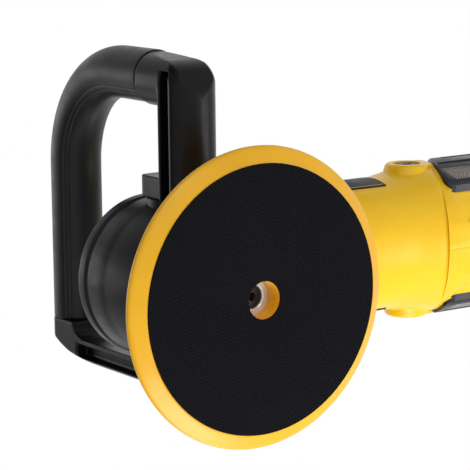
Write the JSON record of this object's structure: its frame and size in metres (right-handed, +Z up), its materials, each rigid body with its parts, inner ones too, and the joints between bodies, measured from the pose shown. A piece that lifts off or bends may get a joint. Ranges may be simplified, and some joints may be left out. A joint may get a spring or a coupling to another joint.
{
  "type": "rotary polisher",
  "caption": "Rotary polisher with hook-faced backing pad, geared head, barrel rear handle with trigger, and a D-handle over the head.",
  "frame": {"origin": "centre of the pad's hook face, on the spindle axis", "axes": "+Z up the spindle into the tool, +X back along the motor to the rear handle, +Y to the user's right; the D-handle reaches out to -Y"},
  "size_m": [0.524, 0.2285, 0.2278],
  "materials": {
    "hook_fabric": "woven hook-and-loop sheet, matt",
    "pad_rubber": "smooth amber yellow",
    "steel": "bright turned",
    "steel_dark": "dark turned",
    "bearing_steel": "polished",
    "gear_steel": "ground, oiled",
    "cast_metal": "die cast",
    "screw_black": "black oxide",
    "boot_rubber": "satin black",
    "lock_red": "matt",
    "spring_steel": "wire",
    "core_iron": "stacked plates",
    "winding_copper": "varnished copper wire",
    "commutator_copper": "turned",
    "fan_plastic": "matt",
    "housing_yellow": "satin yellow, moulded",
    "brass": "bright",
    "carbon": "dull carbon",
    "black_plastic": "satin black, moulded",
    "plate_dark": "printed label, left blank",
    "shield_plastic": "satin dark slate",
    "mesh_metal": "woven wire",
    "grip_rubber": "soft satin black",
    "pale_plastic": "matt",
    "board_green": "lacquered board"
  },
  "bodies": {
    "housing": {"spindle_low_bearing": "bearing_steel", "spindle_top_bearing": "bearing_steel", "nose_cover": "cast_metal", "nose_screws": "screw_black", "gear_case": "cast_metal", "gear_case_boot": "boot_rubber", "pinion_front_bearing": "bearing_steel", "pinion_rear_bearing": "bearing_steel", "gear_plate": "cast_metal", "gear_case_screws": "screw_black", "lock_spring": "spring_steel", "fan_baffle": "fan_plastic", "armature_front_bearing": "bearing_steel", "armature_rear_bearing": "bearing_steel", "stator_core": "core_iron", "field_coils": "winding_copper", "motor_housing": "housing_yellow", "brush_holders": "brass", "carbon_brushes": "carbon", "brush_springs": "spring_steel", "brush_caps": "black_plastic", "name_plates": "plate_dark", "handle_shell_left": "housing_yellow", "handle_shell_right": "housing_yellow", "shell_screws": "screw_black", "wool_shields": "shield_plastic", "wool_meshes": "mesh_metal", "handle_overmould": "grip_rubber", "trigger_pin": "steel", "switch_body": "black_plastic", "circuit_board": "board_green", "cord_inlet": "grip_rubber", "bail_frame": "black_plastic", "bail_grip": "grip_rubber", "bail_bolts": "screw_black", "bail_washers": "steel"},
    "spindle_and_pad": {"hook_face": "hook_fabric", "pad_plate": "pad_rubber", "pad_insert": "steel", "spindle": "steel_dark", "ring_gear": "gear_steel"},
    "lower_shaft": {"bevel_pinion": "gear_steel", "pinion_shaft": "steel_dark", "idler_gear": "gear_steel"},
    "armature": {"armature_shaft": "steel_dark", "armature_core": "core_iron", "armature_windings": "winding_copper", "commutator": "commutator_copper", "fan": "fan_plastic"},
    "lock_button": {"lock_button": "lock_red"},
    "trigger": {"trigger": "black_plastic"},
    "switch_plunger": {"switch_plunger": "pale_plastic"},
    "lock_on_button": {"lock_on_button": "black_plastic"},
    "speed_dial": {"speed_dial": "black_plastic"}
  },
  "joints": [
    {"name": "spindle_spin", "type": "hinge", "parent": "housing", "child": "spindle_and_pad", "pos_m": [0, 0, 0.04], "axis": [0, 0, 1], "continuous": true},
    {"name": "lower_shaft_spin", "type": "hinge", "parent": "housing", "child": "lower_shaft", "pos_m": [0.03, 0, 0.082], "axis": [1, 0, 0], "continuous": true},
    {"name": "armature_spin", "type": "hinge", "parent": "housing", "child": "armature", "pos_m": [0.12, 0, 0.108], "axis": [1, 0, 0], "continuous": true},
    {"name": "spindle_lock_press", "type": "slide", "parent": "housing", "child": "lock_button", "axis": [0, 0, -1], "range_m": [0, 0.007], "stiffness_N_per_m": 600, "springref_m": -0.004, "deforming": ["lock_spring"]},
    {"name": "trigger_pull", "type": "hinge", "parent": "housing", "child": "trigger", "pos_m": [0.308, 0, 0.08], "axis": [0, -1, 0], "range_deg": [0, 6], "stiffness_Nm_per_rad": 4, "springref_deg": -5.73},
    {"name": "plunger_push", "type": "slide", "parent": "housing", "child": "switch_plunger", "axis": [0, 0, 1], "range_m": [0, 0.0056]},
    {"name": "lock_on_press", "type": "slide", "parent": "housing", "child": "lock_on_button", "axis": [0, 1, 0], "range_m": [0, 0.003], "stiffness_N_per_m": 500, "springref_m": -0.002},
    {"name": "speed_dial_turn", "type": "hinge", "parent": "housing", "child": "speed_dial", "pos_m": [0.312, 0, 0.127], "axis": [0, 1, 0], "range_deg": [-140, 140]}
  ],
  "couplings": [
    {"joint": "lower_shaft_spin", "follows": "spindle_spin", "ratio": 2.6154},
    {"joint": "armature_spin", "follows": "spindle_spin", "ratio": -8.7179},
    {"joint": "plunger_push", "follows": "trigger_pull", "m_per_rad": 0.05}
  ]
}
